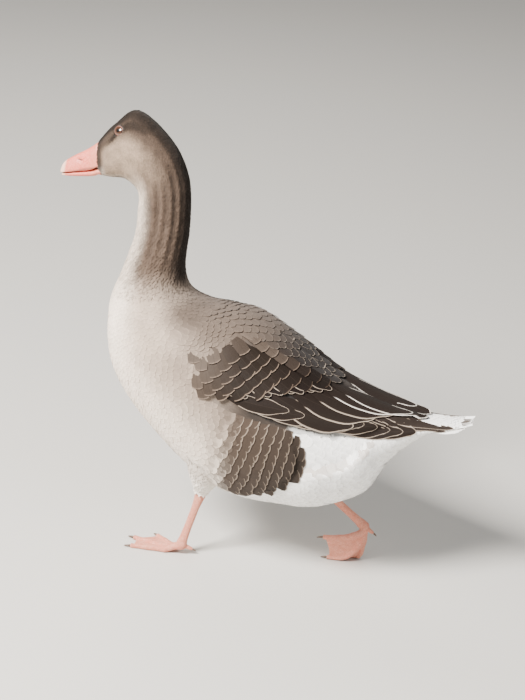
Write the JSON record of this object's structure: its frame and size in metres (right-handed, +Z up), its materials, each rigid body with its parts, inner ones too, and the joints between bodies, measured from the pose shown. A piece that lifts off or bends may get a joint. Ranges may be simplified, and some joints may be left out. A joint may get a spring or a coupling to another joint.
{
  "type": "domestic goose",
  "caption": "Life-size still model of a grey farm goose in mid-stride, neck up, wings folded, with pink bill, pale breast, barred flanks and white vent.",
  "frame": {"origin": "on the floor, under the middle of the goose's bounding box", "axes": "-Y is the way the goose faces, towards the bill; +X is the goose's left side; +Z is up"},
  "size_m": [0.2238, 0.6386, 0.6579],
  "materials": {
    "plumage": "matt, soft feathers, grey brown with paler edges, near white on breast and vent",
    "wing_plumage": "satin, firm feathers, dark grey brown with pale edges",
    "tail_plumage": "satin, dark grey feathers with white edges and tips",
    "bill_horn": "satin pink horn with a paler nail",
    "eye_glass": "wet, dark brown with a narrow orange ring",
    "leg_skin": "satin pink scaled skin",
    "claw_horn": "satin grey brown horn"
  },
  "bodies": {
    "root": {"bill_lower": "bill_horn", "bill_upper": "bill_horn", "claw_left_hind": "claw_horn", "claw_left_inner": "claw_horn", "claw_left_middle": "claw_horn", "claw_left_outer": "claw_horn", "claw_right_hind": "claw_horn", "claw_right_inner": "claw_horn", "claw_right_middle": "claw_horn", "claw_right_outer": "claw_horn", "eye_left": "eye_glass", "eye_right": "eye_glass", "foot_left": "leg_skin", "foot_right": "leg_skin", "head": "plumage", "neck": "plumage", "shank_left": "leg_skin", "shank_right": "leg_skin", "tail": "tail_plumage", "thigh_left": "plumage", "thigh_right": "plumage", "trunk": "plumage", "wing_left": "wing_plumage", "wing_right": "wing_plumage"}
  },
  "joints": []
}
